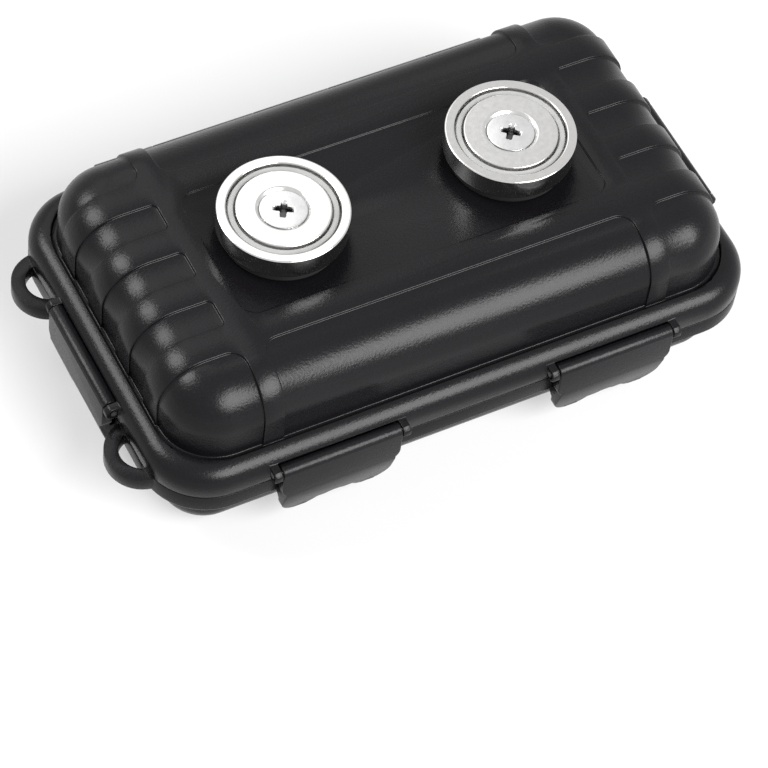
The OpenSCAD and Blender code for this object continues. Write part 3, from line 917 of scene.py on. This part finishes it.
class KEYBOX_OT_foam(bpy.types.Operator):
    """Makes the two foam pads, each swollen a little by a cloth simulation"""

    bl_idname = "keybox.foam"
    bl_label = "Foam Lining"

    def execute(self, context):
        box = context.scene.key_box
        material = foam_skin("foam", box.finish)
        for node, body in (("base_foam", "base"), ("lid_foam", "lid")):
            pad = self.cut_shape(node, box.sizes.foam_swell)
            self.swell(context, pad, box.sizes.foam_swell)
            smooth = pad.modifiers.new("soften", "SUBSURF")
            smooth.levels = smooth.render_levels = 1
            applied(pad)
            for face in pad.data.polygons:
                face.use_smooth = True
            finished(pad, body, material, "foam", node)
        return {"FINISHED"}

    def cut_shape(self, node, inset):
        """The pad's solid as even small faces, drawn in a little to leave room to swell."""
        pad = new_object(node + "_pad", joined_copy(node, node + "_pad"))
        remesh = pad.modifiers.new("even", "REMESH")
        remesh.mode = "VOXEL"
        remesh.voxel_size = FOAM_MESH
        applied(pad)
        pad.data.update()
        normals = [v.normal.copy() for v in pad.data.vertices]
        for vertex, normal in zip(pad.data.vertices, normals):
            vertex.co -= normal * inset
        return pad

    def swell(self, context, pad, cap):
        """Runs the simulation, and keeps no point that moved further than the cap."""
        before = [v.co.copy() for v in pad.data.vertices]
        cloth = pad.modifiers.new("swell", "CLOTH")
        cloth.settings.use_pressure = True
        cloth.settings.uniform_pressure_force = SWELL_PRESSURE
        cloth.settings.effector_weights.gravity = 0
        cloth.point_cache.frame_start = 1
        cloth.point_cache.frame_end = SWELL_FRAMES
        for step in range(1, SWELL_FRAMES + 1):
            context.scene.frame_set(step)
        applied(pad)
        for vertex, start in zip(pad.data.vertices, before):
            moved = vertex.co - start
            if moved.length > cap:
                vertex.co = start + moved.normalized() * cap
        context.scene.frame_set(1)


class KEYBOX_OT_stage(bpy.types.Operator):
    """Sets up the pale floor, the soft lights and the camera"""

    bl_idname = "keybox.stage"
    bl_label = "Stage"

    def execute(self, context):
        stage = context.scene.key_box.stage
        scene = context.scene
        scene.view_settings.view_transform = "Standard"
        self.add_floor(stage)
        self.add_room(scene, stage.room_light)
        for name, (direction, distance, widths) in LIGHTS.items():
            power = getattr(stage, name + "_power")
            self.add_light(name + "_light", Vector(direction).normalized(), distance, widths, power)
        self.add_camera(scene, stage.focal_length)
        return {"FINISHED"}

    def add_floor(self, stage):
        """A wide floor that keeps its shadow and looks nearly white to the camera."""
        mesh = bpy.data.meshes.new("floor")
        corners = [(x * FLOOR_REACH, y * FLOOR_REACH, 0) for x, y in ((-1, -1), (1, -1), (1, 1), (-1, 1))]
        mesh.from_pydata(corners, [], [(0, 1, 2, 3)])
        floor = new_object("floor", mesh)
        made, tree, shader, place = start_material("floor", roughness=0.9, specular_ior_level=0.1)
        shader.inputs["Base Color"].default_value = (*stage.floor_colour, 1)
        glow = add(tree, "ShaderNodeEmission", {"Color": (1, 1, 1, 1)})
        away = add(tree, "ShaderNodeVectorMath", {0: place}, operation="LENGTH").outputs["Value"]
        spread = add(tree, "ShaderNodeMapRange", {
            "Value": away, "From Min": GLOW_START, "From Max": GLOW_END,
            "To Min": stage.near_glow, "To Max": stage.far_glow}).outputs["Result"]
        tree.links.new(math_node(tree, "MULTIPLY", background_seen(tree), spread), glow.inputs["Strength"])
        both = add(tree, "ShaderNodeAddShader", {0: shader.outputs[0], 1: glow.outputs[0]})
        tree.links.new(both.outputs[0], tree.nodes["Material Output"].inputs["Surface"])
        mesh.materials.append(made)

    def add_room(self, scene, strength):
        """Weak even light all round, which looks white to the camera."""
        world = bpy.data.worlds.new("room")
        scene.world = world
        world.use_nodes = True
        tree = world.node_tree
        background = tree.nodes["Background"].inputs
        background["Color"].default_value = (1, 1, 1, 1)
        tree.links.new(ramp(tree, background_seen(tree), strength, 1.0), background["Strength"])

    def add_light(self, name, direction, distance, widths, power):
        """A soft oval light that faces the box and isn't seen by the camera itself."""
        data = bpy.data.lights.new(name, "AREA")
        data.shape = "ELLIPSE"
        data.size, data.size_y = widths
        data.energy = power
        light = new_object(name, data)
        light.location = AIM + direction * distance
        light.rotation_euler = direction.to_track_quat("Z", "Y").to_euler()
        light.visible_camera = False

    def add_camera(self, scene, focal_length):
        """The camera at the photograph's place, turned by its own right and up."""
        data = bpy.data.cameras.new("camera")
        data.sensor_width = SENSOR_MM
        data.lens = focal_length
        data.clip_start = 0.01
        camera = new_object("camera", data)
        back = CAMERA_RIGHT.cross(CAMERA_UP).normalized()
        turn = Matrix((CAMERA_RIGHT.normalized(), CAMERA_UP.normalized(), back)).transposed().to_4x4()
        camera.matrix_world = Matrix.Translation(CAMERA_PLACE) @ turn
        scene.camera = camera


class KeyBoxSettings(bpy.types.PropertyGroup):
    """All settings of the key box."""

    finish: PointerProperty(type=KeyBoxFinish)
    sizes: PointerProperty(type=KeyBoxSizes)
    stage: PointerProperty(type=KeyBoxStage)


class KEYBOX_PT_panel(bpy.types.Panel):
    """Lists the settings and the steps that build the key box"""

    bl_label = "Key Box"
    bl_idname = "KEYBOX_PT_panel"
    bl_space_type = "VIEW_3D"
    bl_region_type = "UI"
    bl_category = "Key Box"

    def draw(self, context):
        box = context.scene.key_box
        for group in (box.finish, box.sizes, box.stage):
            column = self.layout.column(align=True)
            for name in group.bl_rna.properties.keys():
                if name not in ("rna_type", "name"):
                    column.prop(group, name)
        for step in STEPS:
            self.layout.operator(step.bl_idname)


STEPS = (
    KEYBOX_OT_shells, KEYBOX_OT_latches, KEYBOX_OT_pins, KEYBOX_OT_cups, KEYBOX_OT_discs,
    KEYBOX_OT_resin, KEYBOX_OT_pads, KEYBOX_OT_screws, KEYBOX_OT_nuts, KEYBOX_OT_seal,
    KEYBOX_OT_foam, KEYBOX_OT_stage,
)
CLASSES = (KeyBoxFinish, KeyBoxSizes, KeyBoxStage, KeyBoxSettings) + STEPS + (KEYBOX_PT_panel,)


def register():
    for item in CLASSES:
        bpy.utils.register_class(item)
    bpy.types.Scene.key_box = PointerProperty(type=KeyBoxSettings)


def unregister():
    del bpy.types.Scene.key_box
    for item in reversed(CLASSES):
        bpy.utils.unregister_class(item)


def main():
    """Builds everything in order."""
    register()
    bpy.ops.keybox.shells()
    bpy.ops.keybox.latches()
    bpy.ops.keybox.pins()
    bpy.ops.keybox.cups()
    bpy.ops.keybox.discs()
    bpy.ops.keybox.resin()
    bpy.ops.keybox.pads()
    bpy.ops.keybox.screws()
    bpy.ops.keybox.nuts()
    bpy.ops.keybox.seal()
    bpy.ops.keybox.foam()
    bpy.ops.keybox.stage()


if __name__ == "__main__":
    main()
